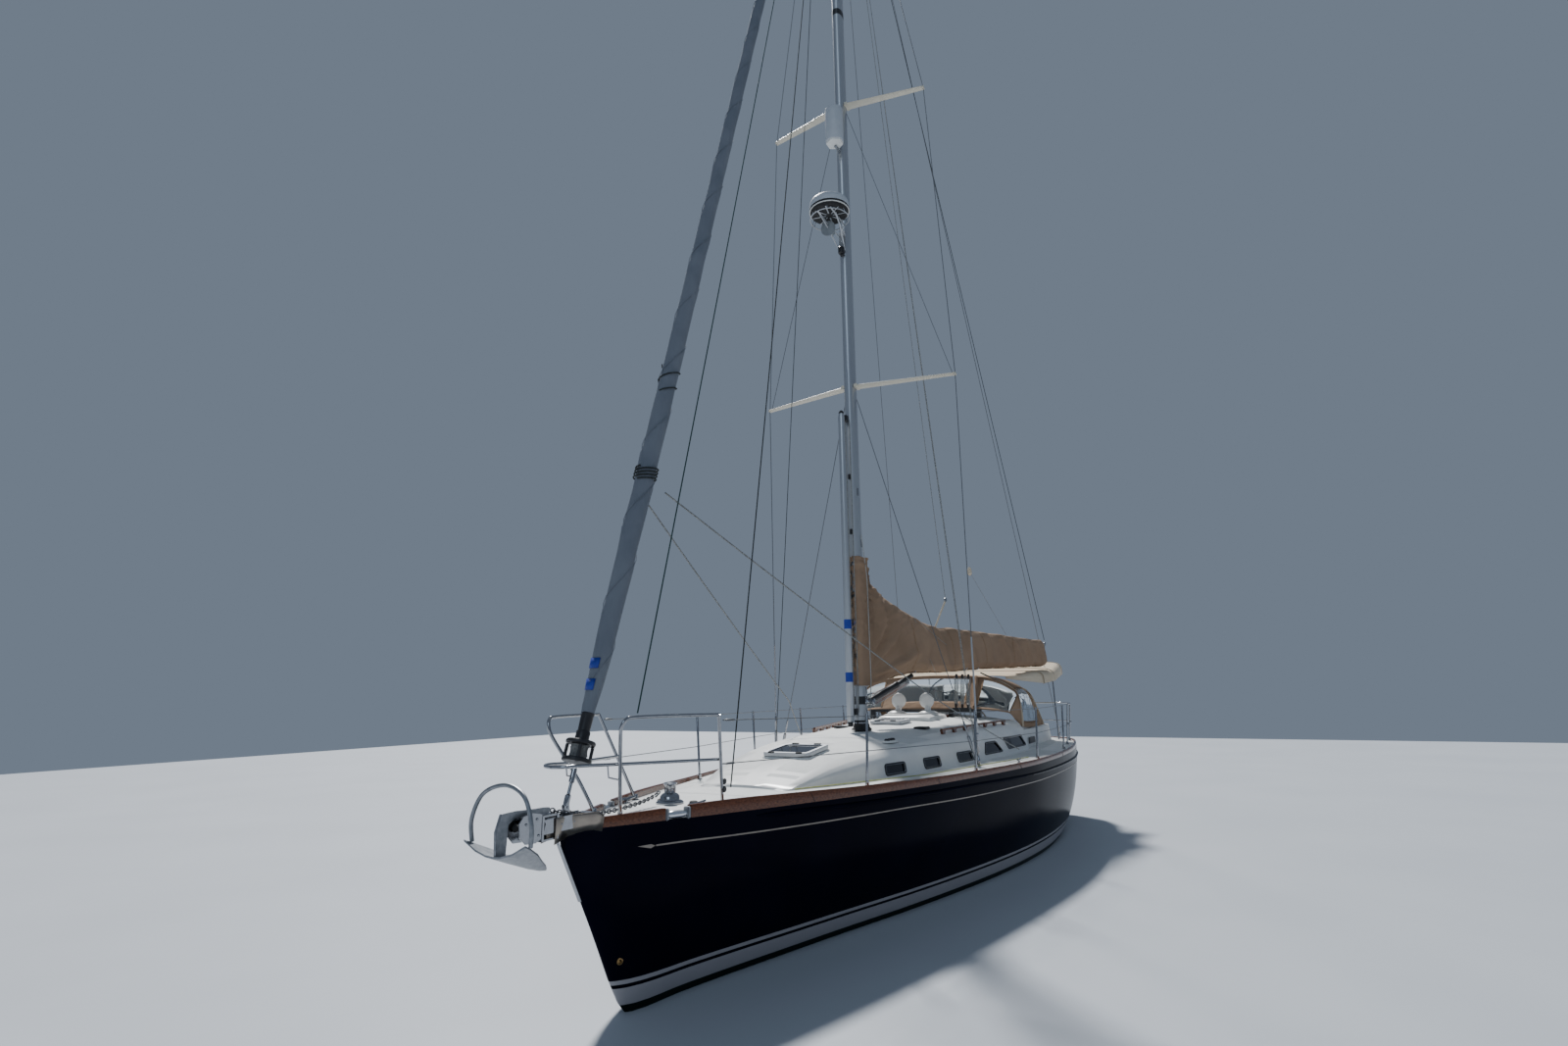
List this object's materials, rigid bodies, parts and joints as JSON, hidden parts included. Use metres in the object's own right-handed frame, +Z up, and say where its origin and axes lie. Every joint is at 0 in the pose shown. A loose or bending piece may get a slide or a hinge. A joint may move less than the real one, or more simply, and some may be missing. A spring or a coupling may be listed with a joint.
{
  "type": "sailing yacht",
  "caption": "Cruising sailing yacht, sloop rigged, with furled headsail, covered mainsail, coachroof, cockpit, dodger, bimini, fin keel and rudder.",
  "frame": {"origin": "middle of the waterline, on the boat's centre plane, at the water's surface", "axes": "+X forward, +Y to port, +Z up"},
  "size_m": [12.225, 3.95, 20.42],
  "materials": {
    "hull_gelcoat": "glossy, near-black navy",
    "keel_paint": "matt antifouling",
    "engine_paint": "satin",
    "bronze": "satin",
    "deck_gelcoat": "satin white",
    "tinted_glass": "dark tinted",
    "varnished_teak": "varnished",
    "mast_alloy": "satin anodised",
    "black_rubber": "matt",
    "canvas": "woven tan",
    "rope_dark": "braided",
    "black_plastic": "matt",
    "white_plastic": "satin",
    "stainless": "polished",
    "galvanised": "galvanised"
  },
  "bodies": {
    "yacht": {"hull": "hull_gelcoat", "keel": "keel_paint", "engine_block": "engine_paint", "drive_leg": "engine_paint", "deck": "deck_gelcoat", "cockpit": "deck_gelcoat", "window_glass_port": "tinted_glass", "window_glass_starboard": "tinted_glass", "sea_hood": "deck_gelcoat", "toe_rail_port": "varnished_teak", "toe_rail_starboard": "varnished_teak", "mast": "mast_alloy", "mast_boot": "black_rubber", "masthead": "mast_alloy", "spreader_lower_port": "white_plastic", "spreader_upper_port": "white_plastic", "cap_shroud_port": "stainless", "lower_shroud_port": "stainless", "backstay_port": "stainless", "spreader_lower_starboard": "white_plastic", "spreader_upper_starboard": "white_plastic", "cap_shroud_starboard": "stainless", "lower_shroud_starboard": "stainless", "backstay_starboard": "stainless", "furled_headsail": "canvas", "furler_drum": "black_plastic", "radar_dome": "white_plastic", "radar_bracket": "stainless", "radar_reflector": "white_plastic", "spinnaker_pole": "mast_alloy", "pulpit": "stainless", "pushpit": "stainless", "lifelines_port": "stainless", "lifelines_starboard": "stainless", "genoa_sheets": "rope_dark", "pole_lift": "rope_dark", "stem_plate": "stainless", "anchor": "galvanised", "windlass": "stainless", "winch_port": "stainless", "grab_rail_port": "varnished_teak", "cowl_vent_port": "white_plastic", "winch_starboard": "stainless", "grab_rail_starboard": "varnished_teak", "cowl_vent_starboard": "white_plastic", "traveller": "black_plastic", "dodger_cover": "canvas", "dodger_frame": "stainless", "bimini_cover": "canvas", "bimini_frame": "stainless", "pedestal": "deck_gelcoat"},
    "boom": {"boom": "mast_alloy", "sail_cover": "canvas", "vang": "mast_alloy"},
    "rudder": {"rudder": "hull_gelcoat"},
    "steering_wheel": {"steering_wheel": "stainless"},
    "propeller": {"propeller": "bronze"},
    "companionway_slide": {"companionway_slide": "deck_gelcoat"},
    "foredeck_hatch": {"foredeck_hatch_lid": "tinted_glass"},
    "midship_hatch": {"midship_hatch_lid": "tinted_glass"}
  },
  "joints": [
    {"name": "boom_swing", "type": "hinge", "parent": "yacht", "child": "boom", "pos_m": [0.27, 0, 2.545], "axis": [0, 0, 1], "range_deg": [-59, 90]},
    {"name": "rudder_turn", "type": "hinge", "parent": "yacht", "child": "rudder", "pos_m": [-4.42, 0, -0.3], "axis": [0, 0, 1], "range_deg": [-35, 35]},
    {"name": "wheel_turn", "type": "hinge", "parent": "yacht", "child": "steering_wheel", "pos_m": [-4.45, 0, 1.52], "axis": [1, 0, 0], "range_deg": [-360, 360]},
    {"name": "propeller_spin", "type": "hinge", "parent": "yacht", "child": "propeller", "pos_m": [-3.08, 0, -0.72], "axis": [1, 0, 0], "continuous": true},
    {"name": "companionway_open", "type": "slide", "parent": "yacht", "child": "companionway_slide", "axis": [1, 0, 0], "range_m": [0, 0.7]},
    {"name": "foredeck_hatch_open", "type": "hinge", "parent": "yacht", "child": "foredeck_hatch", "pos_m": [2.6161, 0, 1.5587], "axis": [0, 1, 0], "range_deg": [0, 85]},
    {"name": "midship_hatch_open", "type": "hinge", "parent": "yacht", "child": "midship_hatch", "pos_m": [-0.7907, 0, 1.7883], "axis": [0, -1, 0], "range_deg": [0, 85]}
  ],
  "couplings": [
    {"joint": "wheel_turn", "follows": "rudder_turn", "ratio": 10}
  ]
}
